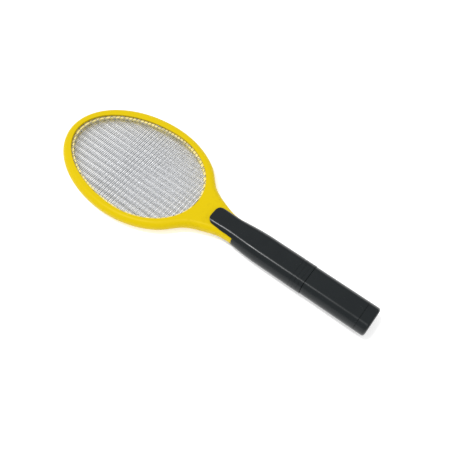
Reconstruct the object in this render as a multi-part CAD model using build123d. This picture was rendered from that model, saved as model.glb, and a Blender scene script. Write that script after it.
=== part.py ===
from build123d import *
import os
from math import cos, radians, sin

# Electric fly swatter. Everything is drawn about the swatter's mid-plane, with Y measured from the
# rear end of the handle to the tip of the head, and moved to the part's own frame when it is written:
# origin at the bottom centre of the whole swatter, +Y towards the head, +Z up, push button underneath.

# ---------------- driving dimensions, millimetres ----------------
LENGTH = 437.0                  # rear end of the handle to the tip of the head
HANDLE_HALF_THICK = 13.0        # mid-plane to the flat of the grip
HEAD_HALF_THICK = 7.2           # mid-plane to the flat of the head frame
FIT = 0.15                      # slack between pieces that only locate each other

# head outline: two half-ellipses on one widest line, then a neck
HEAD_HALF_WIDTH = 73.0
HEAD_WIDEST_Y = 325.0
HEAD_FRONT_REACH = LENGTH - HEAD_WIDEST_Y
HEAD_REAR_REACH = 102.0
NECK_JOIN_ANGLE = 44.0          # angle on the rear half-ellipse where the neck begins
NECK_POINTS = [(32.1, 232.0), (20.1, 206.5), (15.9, 192.0)]
NECK_REAR = (14.6, 175.3)       # half-width and place of the neck's rear shoulder
NECK_HALF_THICK = 7.9
NECK_RAMP = (212.0, 250.0)      # stretch over which the neck thins down to the head
FRAME_ROUNDING = 6.5
WINDOW_ROUNDING = 0.7
FRAME_WALL = 3.0
FRAME_ROOF = 2.2

# window of the head: egg of two half-ellipses
WINDOW_WIDEST_Y = 317.5
WINDOW_HALF_WIDTH = 62.4
WINDOW_FRONT_REACH = 108.7
WINDOW_REAR_REACH = 81.0
LEDGE_INSET = 2.6               # spacer's inner edge inside the window's edge
GRID_OVERLAP = 3.2              # grid's edge beyond the window's edge
POCKET_WALL = 1.6

# grids
WIRE = 0.7
GRID_RIM = 1.2                  # solid border of a grid, held in the frame's pocket
LONG_PITCH = 7.9
CROSS_PITCH = 4.94
GRID_THICK = 2 * WIRE
SPACER_THICK = 2.9
TAB_WIDTH = 6.0
TAB_LENGTH = 8.0
TAB_X = 6.5                     # the two outer grids' tabs stand this far either side of the middle

# tail of the neck, held between the handle shells
TAIL_HALF_WIDTH = 6.6
TAIL_HALF_THICK = 7.0
TAIL_REAR_Y = 152.0
LEAD_CHANNEL = (4.3, 4.5)       # half-width and half-height of the lead channel

# handle
GRIP_HALF_WIDTH = 18.0
SHOULDER_HALF = 10.4            # half-width of the flat top and bottom
SHOULDER_ROUNDING = 6.0
SHELL_WALL = 2.0
EDGE_ROUNDING = 0.5             # softened outer edges of the handle's mouldings
SHELL_REAR_Y = 80.3
GRIP_STRAIGHT_END_Y = 143.0
SHELL_FRONT_Y = 175.0
TONGUE_TIP_Y = 211.5
TONGUE_CORNER = 8.0
TONGUE_HALF_WIDTHS = (13.9, 11.4)     # at its root and at its tip
TONGUE_UNDER = NECK_HALF_THICK + FIT
GRIP_STATIONS = [(143.0, 18.0, 13.0), (154.0, 17.5, 12.7), (165.0, 16.7, 12.2),
                 (176.0, 15.8, 11.7), (190.0, 15.6, 11.35), (213.0, 15.6, 11.0)]
GRIP_GROOVES_Y = [84.5, 89.5, 94.5]
GROOVE_DEPTH = 0.45
GROOVE_HALF_WIDTH = 0.6

# battery sleeve and cells
SLEEVE_FRONT_Y = 80.0
SLEEVE_HALF_WIDTH = 17.5
SLEEVE_HALF_THICK = 12.7
CAP_FRONT_Y = 13.0
CELL_RADIUS = 7.25
CELL_LENGTH = 50.5
CELL_X = 7.4
CELL_REAR_Y = 22.2
CELL_FRONT_GAP = 5.0
TRAY_REAR_Y = 15.2
TRAY_FRONT_Y = 84.0
TRAY_SLACK = (0.3, 0.4)          # room inside the sleeve, sideways and up
CONTACT_THICK = 0.4
SPRING_TURNS = 4
SPRING_RADIUS = 3.8             # of its wide end
SPRING_WIRE_RADIUS = 0.3

# circuit board and what is on it
BOARD_TOP = -1.7
BOARD_THICK = 1.6
BOARD_SIZE = (25.0, 46.0)
BOARD_Y = 124.0
BUTTON_Y = 124.0
BUTTON_TRAVEL = 1.2
BUTTON_LENGTH = 18.0
BUTTON_WIDTH = 10.0
THUMB_DISH_DEPTH = 1.2
LED_Y = 138.8
TRANSFORMER = (-3.4, 112.0, BOARD_TOP + 5.3)   # middle of its core
TRANSISTOR = (8.4, 112.5)
DIODES = [(-7.2, 122.0), (-7.2, 126.5), (-7.2, 131.0)]
RESISTORS = [(7.6, 119.5), (7.6, 123.0), (7.6, 126.5)]
MULTIPLIER_CAPACITORS = [(-7.5, 137.5), (6.5, 137.5)]
STORAGE_CAPACITOR = (4.5, 131.5)
LEAD_RADIUS = 0.6

SLEEVE_INNER = (SLEEVE_HALF_WIDTH - SHELL_WALL, SLEEVE_HALF_THICK - SHELL_WALL)
CELL_FRONT_Y = CELL_REAR_Y + CELL_LENGTH
FRONT_WALL_Y = CELL_FRONT_Y + CELL_FRONT_GAP   # tray's front wall
BOARD_UNDER = BOARD_TOP - BOARD_THICK
LEG_END = BOARD_UNDER - 0.8      # clipped ends of the components' legs
WINDOW_TIP_Y = WINDOW_WIDEST_Y + WINDOW_FRONT_REACH
WINDOW_REAR_Y = WINDOW_WIDEST_Y - WINDOW_REAR_REACH
GRID_OUTER_MID = WIRE + SPACER_THICK + GRID_THICK / 2
FRAME_SCREWS = [(-16.0, 227.0), (16.0, 227.0)]
FRAME_SCREW_SEAT = 4.2          # depth of the seat below the mid-plane
FRAME_PILOT_DEPTH = 4.6
HANDLE_SCREWS = [(0.0, 93.0), (-10.4, 160.0), (10.4, 160.0)]
HANDLE_SCREW_SEAT = 8.5         # depth of the seat below the mid-plane
LUG_HALF_THICK = 2.0            # tray's lug between the rear screw's bosses
BOARD_SCREWS = [(10.0, 104.0), (-10.0, 143.5)]


# ---------------- shared shapes ----------------
def block(x, y, z):
    """Box between the given (low, high) pairs."""
    size = (x[1] - x[0], y[1] - y[0], z[1] - z[0])
    return Pos((x[0] + x[1]) / 2, (y[0] + y[1]) / 2, (z[0] + z[1]) / 2) * Box(*size)


def rod(x, y, z, radius):
    """Upright cylinder between the heights z = (low, high)."""
    return Pos(x, y, (z[0] + z[1]) / 2) * Cylinder(radius, z[1] - z[0])


def rod_along_y(x, y, z, radius):
    """Cylinder along Y between y = (low, high)."""
    return Pos(x, (y[0] + y[1]) / 2, z) * Rot(90, 0, 0) * Cylinder(radius, y[1] - y[0])


def egg(grow):
    """Face of the head's window, larger by grow all round."""
    middle = (0, WINDOW_WIDEST_Y)
    half = WINDOW_HALF_WIDTH + grow
    front = EllipticalCenterArc(middle, half, WINDOW_FRONT_REACH + grow, 0, arc_size=180)
    rear = EllipticalCenterArc(middle, half, WINDOW_REAR_REACH + grow, 180, arc_size=180)
    return make_face([front, rear])


def slab(face, low, high):
    """The face, which lies at z = 0, made solid between two heights."""
    return Pos(0, 0, low) * extrude(face, high - low)


def mirrored_points(points):
    return [(-x, y) for x, y in points]


def frame_outline(inset=0.0):
    """Closed outline of the head and neck, drawn inset inwards."""
    a = HEAD_HALF_WIDTH - inset
    front_b = HEAD_FRONT_REACH - inset
    rear_b = HEAD_REAR_REACH - inset
    middle = (0, HEAD_WIDEST_Y)
    join = radians(NECK_JOIN_ANGLE)
    join_x = a * cos(join)
    join_y = HEAD_WIDEST_Y - rear_b * sin(join)
    slope = (-a * sin(join), -rear_b * cos(join))
    rear_x = NECK_REAR[0] - inset
    rear_y = NECK_REAR[1] + inset
    side = [(x - inset, y) for x, y in NECK_POINTS]
    right_points = [(join_x, join_y)] + side + [(rear_x, rear_y)]
    right = Spline(right_points, tangents=[slope, (-0.12, -1.0)])
    left = Spline(mirrored_points(right_points), tangents=[(-slope[0], slope[1]), (0.12, -1.0)])
    front = EllipticalCenterArc(middle, a, front_b, 0, arc_size=180)
    rear_left = EllipticalCenterArc(middle, a, rear_b, 180, arc_size=NECK_JOIN_ANGLE)
    rear_right = EllipticalCenterArc(middle, a, rear_b, 360 - NECK_JOIN_ANGLE, arc_size=NECK_JOIN_ANGLE)
    rear = Line((-rear_x, rear_y), (rear_x, rear_y))
    return make_face([front, rear_left, left, rear, right, rear_right])


def frame_envelope(inset, roof):
    """Upper half of the head and neck: the outline under the side profile, lowered by roof."""
    head = HEAD_HALF_THICK - roof
    neck = NECK_HALF_THICK - roof
    body = slab(frame_outline(inset), 0, neck)
    start, end = NECK_RAMP
    ramp = Spline([(start, neck), (end, head)], tangents=[(1, 0), (1, 0)], tangent_scalars=[0.8, 0.8])
    edges = [ramp, Line((end, head), (LENGTH + 10, head)), Line((LENGTH + 10, head), (LENGTH + 10, 30)),
             Line((LENGTH + 10, 30), (start, 30)), Line((start, 30), (start, neck))]
    above = Plane.YZ * make_face(edges)
    return body - extrude(above, 100, both=True)


def grip_profile(half_width, half_thick):
    """Upper half of the grip's section in the XZ plane: flat top, soft shoulders, bowed sides."""
    top = SHOULDER_HALF * half_width / GRIP_HALF_WIDTH
    right = TangentArc((half_width, 0), (top, half_thick), tangent=(0, 1))
    roof = Line((top, half_thick), (-top, half_thick))
    left = TangentArc((-half_width, 0), (-top, half_thick), tangent=(0, 1))
    base = Line((-half_width, 0), (half_width, 0))
    face = make_face([right, roof, left, base])
    shoulders = face.vertices().filter_by(lambda v: v.Y > half_thick - 0.01)
    return fillet(shoulders, SHOULDER_ROUNDING)


def stand(face, y):
    """Stands a section that was drawn flat upright at the station y."""
    return Pos(0, y, 0) * Rot(90, 0, 0) * face


def straight_grip(half_width, half_thick, start, end):
    """Upper half of a straight stretch of the grip."""
    return extrude(stand(grip_profile(half_width, half_thick), end), end - start, dir=(0, -1, 0))


def whole_grip(half_width, half_thick, start, end):
    half = straight_grip(half_width, half_thick, start, end)
    return half + under(half)


def tapered_grip(inset):
    """Upper half of the front of the grip, from its straight part to the tongue."""
    faces = [stand(grip_profile(w - inset, h - inset), y) for y, w, h in GRIP_STATIONS]
    return loft(faces)


def under(solid):
    """The same piece turned to the swatter's underside."""
    return mirror(solid, Plane.XY)


# ---------------- head ----------------
def on_outer_rim(edge):
    """Whether an edge belongs to the top of the frame's outline, and doesn't run across it."""
    middle = edge @ 0.5
    if middle.Z < HEAD_HALF_THICK - 0.1 or middle.Y < NECK_REAR[1] + 1:
        return False
    return abs(middle.X) > 1 or middle.Y > LENGTH - 1


def frame_half():
    """Upper half of the head frame with its window, grid pocket, lead channel and tail."""
    solid = frame_envelope(0.0, 0.0)
    solid = fillet(solid.edges().filter_by(on_outer_rim), FRAME_ROUNDING)
    roof = HEAD_HALF_THICK - FRAME_ROOF
    solid -= slab(egg(0.0), -1, 20)
    edge = solid.edges().filter_by(lambda e: e.length > 100 and inside_egg(*(e @ 0.5).to_tuple()[:2], 1.0))
    solid = fillet(edge.group_by(Axis.Z)[-1], WINDOW_ROUNDING)
    solid -= slab(egg(GRID_OVERLAP + FIT), -1, roof)
    channel = frame_envelope(FRAME_WALL, FRAME_ROOF)
    channel -= slab(egg(GRID_OVERLAP + FIT + POCKET_WALL), -1, 30)
    solid -= channel
    notch_y = (WINDOW_REAR_Y - 16, WINDOW_REAR_Y + 1)
    solid -= block((-TAB_X - TAB_WIDTH, TAB_X + TAB_WIDTH), notch_y, (-1, roof))
    tail = block((-TAIL_HALF_WIDTH, TAIL_HALF_WIDTH), (TAIL_REAR_Y, NECK_REAR[1] + 1), (0, TAIL_HALF_THICK))
    solid += fillet(tail.edges().filter_by(Axis.Y).group_by(Axis.Z)[-1], 2)
    half, height = LEAD_CHANNEL
    solid -= block((-half, half), (TAIL_REAR_Y - 1, NECK_REAR[1] + FRAME_WALL + 1), (-1, height))
    return solid


def frame_boss(x, y, radius):
    """Screw boss from the mid-plane up into the frame's roof."""
    return rod(x, y, (0, 2 * NECK_HALF_THICK), radius) & frame_envelope(FRAME_WALL / 2, FRAME_ROOF / 2)


def frame_top():
    solid = frame_half()
    for x, y in FRAME_SCREWS:
        solid += frame_boss(x, y, 3.0)
        solid -= rod(x, y, (-1, FRAME_PILOT_DEPTH), 1.0)
    return solid


def frame_bottom():
    solid = frame_half()
    for x, y in FRAME_SCREWS:
        solid += frame_boss(x, y, 3.9)
        solid -= rod(x, y, (FRAME_SCREW_SEAT, 2 * NECK_HALF_THICK), 2.8)
        solid -= rod(x, y, (-1, FRAME_SCREW_SEAT + 1), 1.5)
    return under(solid)


def grid_spacer():
    """Insulating ring that keeps the live grid away from an outer grid."""
    return slab(egg(GRID_OVERLAP) - egg(-LEDGE_INSET), WIRE, WIRE + SPACER_THICK)


def inside_egg(x, y, grow):
    reach = WINDOW_FRONT_REACH if y > WINDOW_WIDEST_Y else WINDOW_REAR_REACH
    return (x / (WINDOW_HALF_WIDTH + grow)) ** 2 + ((y - WINDOW_WIDEST_Y) / (reach + grow)) ** 2 < 1


def grid_openings():
    """Outlines of a grid's openings, cut off at its rim."""
    rim = egg(GRID_OVERLAP - GRID_RIM)
    columns = int(WINDOW_HALF_WIDTH / LONG_PITCH) + 2
    rows = int(WINDOW_FRONT_REACH / CROSS_PITCH) + 2
    width = LONG_PITCH - WIRE
    height = CROSS_PITCH - WIRE
    wires = []
    for i in range(-columns, columns + 1):
        for j in range(-rows, rows + 1):
            x = i * LONG_PITCH
            y = WINDOW_WIDEST_Y + (j + 0.5) * CROSS_PITCH
            corners = [(x + dx * width / 2, y + dy * height / 2) for dx in (-1, 1) for dy in (-1, 1)]
            held = [inside_egg(cx, cy, GRID_OVERLAP - GRID_RIM) for cx, cy in corners]
            if not any(held):
                continue
            cell = Pos(x, y) * Rectangle(width, height)
            if not all(held):
                cell = cell & rim
            wires += [face.outer_wire() for face in cell.faces() if face.area > 1.0]
    return wires


def grid(middle, tab_x):
    """Wire grid with a solder tab, centred on the height middle."""
    rim = egg(GRID_OVERLAP)
    sheet = Face(rim.faces()[0].outer_wire(), grid_openings())
    solid = slab(sheet, middle - GRID_THICK / 2, middle + GRID_THICK / 2)
    rear = WINDOW_REAR_Y - GRID_OVERLAP
    tab_y = (rear - TAB_LENGTH, rear + 1.1)
    x = (tab_x - TAB_WIDTH / 2, tab_x + TAB_WIDTH / 2)
    return solid + block(x, tab_y, (middle - GRID_THICK / 2, middle + GRID_THICK / 2))


# ---------------- handle ----------------
def tongue_trim():
    """Plan outline of the tongue that lies over the neck, used to cut the tapered grip."""
    root, tip = TONGUE_HALF_WIDTHS
    start = SHELL_FRONT_Y - 1
    corners = [(-root, start), (-tip, TONGUE_TIP_Y), (tip, TONGUE_TIP_Y), (root, start)]
    face = make_face(Polyline(*corners, close=True))
    tips = face.vertices().filter_by(lambda v: v.Y > TONGUE_TIP_Y - 1)
    return slab(fillet(tips, TONGUE_CORNER), -1, 30)


def grip_groove(y):
    """Cutter for one shallow groove round the upper half of the grip."""
    rear, front = y - GROOVE_HALF_WIDTH, y + GROOVE_HALF_WIDTH
    outer = straight_grip(GRIP_HALF_WIDTH + 2, HANDLE_HALF_THICK + 2, rear, front)
    kept = straight_grip(GRIP_HALF_WIDTH - GROOVE_DEPTH, HANDLE_HALF_THICK - GROOVE_DEPTH, y - 5, y + 5)
    return outer - kept


def shell_half():
    """Upper half-shell of the handle: hollow grip that ends in a tongue over the neck."""
    solid = straight_grip(GRIP_HALF_WIDTH, HANDLE_HALF_THICK, SHELL_REAR_Y, GRIP_STRAIGHT_END_Y)
    front = tapered_grip(0.0)
    rear_part = front & block((-30, 30), (0, SHELL_FRONT_Y), (-1, 30))
    tongue = front & tongue_trim()
    rim = tongue.edges().filter_by(lambda e: e.center().Z > TONGUE_UNDER and e.center().Y > SHELL_FRONT_Y)
    tongue = fillet(rim, EDGE_ROUNDING)
    tongue -= block((-30, 30), (SHELL_FRONT_Y, 250), (-1, TONGUE_UNDER))
    solid = solid + rear_part + tongue
    hollow = straight_grip(GRIP_HALF_WIDTH - SHELL_WALL, HANDLE_HALF_THICK - SHELL_WALL,
                           SHELL_REAR_Y - 1, GRIP_STRAIGHT_END_Y)
    hollow += tapered_grip(SHELL_WALL) & block((-30, 30), (0, SHELL_FRONT_Y - SHELL_WALL), (-1, 30))
    solid -= hollow
    solid -= block((-TAIL_HALF_WIDTH - FIT, TAIL_HALF_WIDTH + FIT), (170, SHELL_FRONT_Y + 0.01),
                   (-1, TAIL_HALF_THICK + FIT))
    for y in GRIP_GROOVES_Y:
        solid -= grip_groove(y)
    return solid


def shell_core():
    """Upper half of the grip as a full body, its skin half a wall thinner."""
    half_wall = SHELL_WALL / 2
    straight = straight_grip(GRIP_HALF_WIDTH - half_wall, HANDLE_HALF_THICK - half_wall,
                             SHELL_REAR_Y, GRIP_STRAIGHT_END_Y)
    return straight + tapered_grip(half_wall)


def shell_boss(x, y, start, radius):
    """Screw boss from the height start up into the shell's wall."""
    return rod(x, y, (start, HANDLE_HALF_THICK), radius) & shell_core()


def handle_shell_top():
    solid = shell_half()
    for x, y in HANDLE_SCREWS:
        solid += shell_boss(x, y, LUG_HALF_THICK + 0.1 if x == 0 else 0.0, 2.8)
        solid -= rod(x, y, (-1, 7.5), 1.1)
    return solid


def handle_shell_bottom():
    solid = shell_half()
    for x, y in HANDLE_SCREWS:
        solid += shell_boss(x, y, LUG_HALF_THICK + 0.1 if x == 0 else 0.0, 3.5)
        solid -= rod(x, y, (HANDLE_SCREW_SEAT, 2 * HANDLE_HALF_THICK), 2.6)
        solid -= rod(x, y, (-1, HANDLE_SCREW_SEAT + 1), 1.5)
    solid = under(solid)
    for x, y in BOARD_SCREWS:
        solid += rod(x, y, (-HANDLE_HALF_THICK + SHELL_WALL - 0.3, BOARD_UNDER), 2.6)
        solid -= rod(x, y, (-HANDLE_HALF_THICK + SHELL_WALL + 1, 0), 0.8)
    floor = -HANDLE_HALF_THICK
    dish = SlotOverall(BUTTON_LENGTH + 14, BUTTON_WIDTH + 7)
    pad = Pos(0, BUTTON_Y + 2, 0) * Rot(0, 0, 90) * dish
    solid += slab(offset(pad, 1.5), floor + 0.4, floor + SHELL_WALL + THUMB_DISH_DEPTH)
    sunk = slab(pad, floor - 1, floor + THUMB_DISH_DEPTH)
    solid -= sunk
    hole = Pos(0, BUTTON_Y, 0) * Rot(0, 0, 90) * SlotOverall(BUTTON_LENGTH + 0.6, BUTTON_WIDTH + 0.6)
    solid -= slab(hole, floor - 1, floor + 6)
    solid -= rod(0, LED_Y, (floor - 1, floor + 6), 1.75)
    return solid


def screw(x, y, seat, length, shank, head):
    """Pan-head screw driven upwards, its head under the seat, with a cross recess."""
    solid = rod(x, y, (seat - 1.7, seat), head)
    solid = fillet(solid.edges().group_by(Axis.Z)[0], 0.7)
    solid += rod(x, y, (seat - 0.1, seat + length), shank)
    for turn in (0, 90):
        slot = Pos(x, y, seat - 1.7) * Rot(0, 0, turn) * Box(head * 1.2, 0.55, 1.6)
        solid -= slot
    return solid


# ---------------- battery compartment ----------------
def battery_sleeve():
    solid = whole_grip(SLEEVE_HALF_WIDTH, SLEEVE_HALF_THICK, CAP_FRONT_Y, SLEEVE_FRONT_Y)
    ends = solid.edges().group_by(Axis.Y)
    solid = fillet(ends[0] + ends[-1], EDGE_ROUNDING)
    return solid - whole_grip(*SLEEVE_INNER, CAP_FRONT_Y - 1, SLEEVE_FRONT_Y + 1)


def end_cap():
    """Plug that closes the sleeve, with a rounded rear edge and a spigot inside the sleeve."""
    front = CAP_FRONT_Y - 0.2
    solid = whole_grip(SLEEVE_HALF_WIDTH, SLEEVE_HALF_THICK, 0.0, front)
    solid = fillet(solid.edges().group_by(Axis.Y)[0], 3.0)
    inner_w, inner_h = SLEEVE_INNER
    solid += whole_grip(inner_w - FIT, inner_h - FIT, front - 1, front + 2)
    return solid - whole_grip(inner_w - 1.8, inner_h - 1.8, 2.5, front + 3)


def cell_places():
    return [(-CELL_X, 1), (CELL_X, -1)]


def battery(x, direction):
    """AA cell along Y; direction 1 puts its raised end forwards."""
    body_length = CELL_LENGTH - 1.2
    rear = CELL_REAR_Y if direction > 0 else CELL_REAR_Y + 1.2
    can = rod_along_y(x, (rear, rear + body_length), 0, CELL_RADIUS)
    can = fillet(can.edges(), 0.6)
    nub_y = (rear + body_length - 0.1, rear + CELL_LENGTH) if direction > 0 else (rear - 1.2, rear + 0.1)
    return can + rod_along_y(x, nub_y, 0, 2.7)


def battery_tray():
    """Cradle for both cells, with end walls and a lug for the rear handle screw."""
    half_width = SLEEVE_INNER[0] - TRAY_SLACK[0]
    half_thick = SLEEVE_INNER[1] - TRAY_SLACK[1]
    solid = whole_grip(half_width, half_thick, TRAY_REAR_Y + 1, TRAY_FRONT_Y - 1)
    solid &= block((-12.6, 12.6), (0, TRAY_FRONT_Y), (-20, -3.0))
    for x, _ in cell_places():
        solid -= rod_along_y(x, (TRAY_REAR_Y, TRAY_FRONT_Y + 10), 0, CELL_RADIUS + FIT)
    wall = grip_profile(half_width, half_thick)
    for rear, front in ((TRAY_REAR_Y, TRAY_REAR_Y + 2), (FRONT_WALL_Y, TRAY_FRONT_Y)):
        half = extrude(stand(wall, front), front - rear, dir=(0, -1, 0))
        solid += half + under(half)
    for x, _ in cell_places():
        solid -= rod_along_y(x, (FRONT_WALL_Y + 1.5, TRAY_FRONT_Y + 1), 0, CELL_RADIUS - 1.5)
        solid -= rod_along_y(x, (FRONT_WALL_Y - 1, TRAY_FRONT_Y), 0, 1.6)
    x, y = HANDLE_SCREWS[0]
    solid += block((-5.5, 5.5), (TRAY_FRONT_Y - 0.1, y + 5), (-LUG_HALF_THICK, LUG_HALF_THICK))
    return solid - rod(x, y, (-3, 3), 1.6)


def contact_plate(x, y):
    """Sheet-metal plate of a battery contact, upright at the station y."""
    return block((x - 5.0, x + 5.0), (y, y + CONTACT_THICK), (-4.5, 4.5))


def contact_leg(x, rear, front):
    """Strip that joins a plate that stands forward of another."""
    return block((x, x + CONTACT_THICK), (rear, front + CONTACT_THICK), (-3.0, 3.0))


def contact_tail(x, rear):
    """Pin that carries a front contact through the tray's wall to its lead."""
    return block((x - 0.8, x + 0.8), (rear, TRAY_FRONT_Y - 4.0), (-0.4, 0.4))


def rear_link_contact():
    """Contact that joins both cells in series: flat under the spring, stepped up to the raised end."""
    rear = TRAY_REAR_Y + 2.0
    step = CELL_REAR_Y - CONTACT_THICK
    across = block((-CELL_X, CELL_X - 4.6), (rear, rear + CONTACT_THICK), (-2.8, 4.5))
    solid = contact_plate(-CELL_X, rear) + across
    return solid + contact_leg(CELL_X - 5.0, rear, step) + contact_plate(CELL_X, step)


def front_negative_contact():
    plate = FRONT_WALL_Y - CONTACT_THICK
    return contact_plate(CELL_X, plate) + contact_tail(CELL_X, plate)


def front_positive_contact():
    plate = FRONT_WALL_Y - CONTACT_THICK
    solid = contact_plate(-CELL_X, CELL_FRONT_Y) + contact_plate(-CELL_X, plate)
    solid += contact_leg(-CELL_X + 5.0 - CONTACT_THICK, CELL_FRONT_Y, plate)
    return solid + contact_tail(-CELL_X, plate)


def battery_spring(x, start, end):
    """Conical contact spring from its wide end at y = start to its narrow end at y = end."""
    length = abs(end - start)
    helix = Helix(length / SPRING_TURNS, length, SPRING_RADIUS, cone_angle=-10)
    section = Plane(origin=helix @ 0, z_dir=helix % 0) * Circle(SPRING_WIRE_RADIUS)
    coil = sweep(section, path=helix)
    turn = -90 if end > start else 90
    return Pos(x, start, 0) * Rot(turn, 0, 0) * coil


# ---------------- electronics ----------------
def circuit_board():
    w, d = BOARD_SIZE
    solid = block((-w / 2, w / 2), (BOARD_Y - d / 2, BOARD_Y + d / 2), (BOARD_UNDER, BOARD_TOP))
    for x, y in BOARD_SCREWS:
        solid -= rod(x, y, (-9, 0), 1.2)
    return solid


def transformer_core():
    """Ferrite core of two E halves: two windows beside the middle leg."""
    x, y, z = TRANSFORMER
    solid = Pos(x, y, z) * Box(13.0, 6.0, 10.0)
    for side in (-1, 1):
        solid -= Pos(x + side * 3.6, y, z) * Box(2.6, 7.0, 7.0)
    return solid


def transformer_bobbin():
    """Foot of the transformer: a frame round the core with three pins on each side."""
    x, y, _ = TRANSFORMER
    foot = block((x - 7.5, x + 7.5), (y - 6, y + 6), (BOARD_TOP + 0.2, BOARD_TOP + 1.8))
    foot -= block((x - 6.6, x + 6.6), (y - 3.1, y + 3.1), (BOARD_TOP, BOARD_TOP + 3))
    for step in (-4, 0, 4):
        for side in (-5, 5):
            foot += rod(x + step, y + side, (LEG_END, BOARD_TOP + 0.5), 0.35)
    return foot


def transformer_winding():
    """Taped winding round the core's middle leg."""
    x, y, z = TRANSFORMER
    solid = Pos(x, y, z) * Box(9.4, 10.8, 6.6)
    solid = fillet(solid.edges().filter_by(Axis.Z), 1.8)
    return solid - Pos(x, y, z) * Box(4.8, 6.2, 10)


def box_capacitor(x, y, size, lead_gap):
    """Film capacitor: a rounded block on two legs."""
    w, d, h = size
    body = Pos(x, y, BOARD_TOP + 0.3 + h / 2) * Box(w, d, h)
    body = fillet(body.edges().filter_by(Axis.Z), 0.8)
    for side in (-1, 1):
        body += rod(x + side * lead_gap / 2, y, (LEG_END, BOARD_TOP + 0.5), 0.3)
    return body


def axial_part(x, y, radius, length, span):
    """Diode or resistor lying along X with its two legs bent down through the board."""
    z = BOARD_TOP + radius + 0.15
    solid = Pos(x, y, z) * Rot(0, 90, 0) * Cylinder(radius, length)
    solid += Pos(x, y, z) * Rot(0, 90, 0) * Cylinder(0.3, span)
    for side in (-1, 1):
        solid += rod(x + side * (span / 2 - 0.3), y, (LEG_END, z), 0.3)
    return solid


def oscillator_transistor():
    """Small plastic-cased transistor: a round body with one flat side on three legs."""
    x, y = TRANSISTOR
    body = rod(x, y, (BOARD_TOP + 2.0, BOARD_TOP + 6.6), 2.3)
    body -= block((x + 1.2, x + 4), (y - 4, y + 4), (-5, 10))
    for step in (-1, 0, 1):
        body += rod(x, y + step * 1.27, (LEG_END, BOARD_TOP + 2.1), 0.22)
    return body


def push_switch_body():
    """Switch case under the board with a bore for its plunger."""
    top = BOARD_UNDER
    solid = block((-3.0, 3.0), (BUTTON_Y - 3.0, BUTTON_Y + 3.0), (top - 3.6, top))
    return solid - rod(0, BUTTON_Y, (top - 5, top - 0.5), 1.8)


def push_switch_plunger():
    top = BOARD_UNDER
    return rod(0, BUTTON_Y, (top - 4.9, top - 2.0), 1.72)


def power_button():
    """Oval cap with a flange inside the shell and a short post on the switch's plunger."""
    floor = -HANDLE_HALF_THICK
    inner = floor + SHELL_WALL + THUMB_DISH_DEPTH
    oval = Pos(0, BUTTON_Y, 0) * Rot(0, 0, 90) * SlotOverall(BUTTON_LENGTH, BUTTON_WIDTH)
    flange = Pos(0, BUTTON_Y, 0) * Rot(0, 0, 90) * SlotOverall(BUTTON_LENGTH + 2.4, BUTTON_WIDTH + 2.4)
    cap = slab(oval, floor + 0.3, inner + 0.2)
    cap = fillet(cap.edges().group_by(Axis.Z)[0], 0.6)
    cap += slab(flange, inner + 0.1, inner + 0.6)
    return cap + rod(0, BUTTON_Y, (inner, BOARD_UNDER - 4.95), 2.2)


def indicator_led():
    tip = -HANDLE_HALF_THICK + 0.9
    solid = rod(0, LED_Y, (tip, tip + 4.6), 1.5)
    solid = fillet(solid.edges().group_by(Axis.Z)[0], 1.4)
    solid += rod(0, LED_Y, (tip + 3.8, tip + 4.6), 1.9)
    for side in (-1, 1):
        solid += rod(side * 1.0, LED_Y, (tip + 4.5, BOARD_TOP + 0.8), 0.25)
    return solid


def lead(points, bend=12.0):
    """Insulated wire along straight runs joined by tangent arcs."""
    path = FilletPolyline(*points, radius=bend) if len(points) > 2 else Line(*points)
    section = Plane(origin=path @ 0, z_dir=path % 0) * Circle(LEAD_RADIUS)
    return sweep(section, path=path)


def live_lead():
    start_y = BOARD_Y + BOARD_SIZE[1] / 2 - 4
    start_z = BOARD_TOP + LEAD_RADIUS
    z = -GRID_THICK / 2 - LEAD_RADIUS
    tab = (0, WINDOW_REAR_Y - GRID_OVERLAP - 2, z)
    return lead([(0, start_y, start_z), (0, 160, start_z), (0, 172, z), tab], bend=20)


def ground_lead(x, side):
    """Lead from the board to the tab of the outer grid on that side (1 above, -1 below)."""
    start_y = BOARD_Y + BOARD_SIZE[1] / 2 - 4
    z = BOARD_TOP + LEAD_RADIUS
    end_z = side * (GRID_OUTER_MID - GRID_THICK / 2 - LEAD_RADIUS)
    tab = (TAB_X * x, WINDOW_REAR_Y - GRID_OVERLAP - 2, end_z)
    return lead([(3.2 * x, start_y, z), (3.2 * x, 180, z), (TAB_X * x, 206, end_z), tab])


def battery_lead(side):
    """Lead from a front contact's tail to the rear edge of the board (side -1 left, 1 right)."""
    z = BOARD_TOP + LEAD_RADIUS
    x = side * CELL_X
    inner = side * 6.6
    points = [(x, TRAY_FRONT_Y - 4.0, 0), (x, 88, 0), (inner, 97, z), (inner, 104, z)]
    return lead(points, bend=8)


# ---------------- the whole swatter ----------------
def head_nodes():
    return {
        "head_frame_top": frame_top(),
        "head_frame_bottom": frame_bottom(),
        "grid_spacer_top": grid_spacer(),
        "grid_spacer_bottom": under(grid_spacer()),
        "outer_grid_top": grid(GRID_OUTER_MID, -TAB_X),
        "live_grid": grid(0.0, 0.0),
        "outer_grid_bottom": grid(-GRID_OUTER_MID, TAB_X),
        "frame_screws": Compound(children=[screw(x, y, -FRAME_SCREW_SEAT, 8.4, 1.2, 2.5)
                                           for x, y in FRAME_SCREWS]),
    }


def handle_nodes():
    board_screw = Rot(180, 0, 0) * screw(0, 0, -BOARD_TOP, 6.0, 0.95, 2.0)
    return {
        "handle_shell_top": handle_shell_top(),
        "handle_shell_bottom": handle_shell_bottom(),
        "handle_screws": Compound(children=[screw(x, y, -HANDLE_SCREW_SEAT, 15.0, 1.25, 2.4)
                                            for x, y in HANDLE_SCREWS]),
        "board_screws": Compound(children=[Pos(x, y, 0) * board_screw for x, y in BOARD_SCREWS]),
        "power_button": power_button(),
    }


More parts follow.
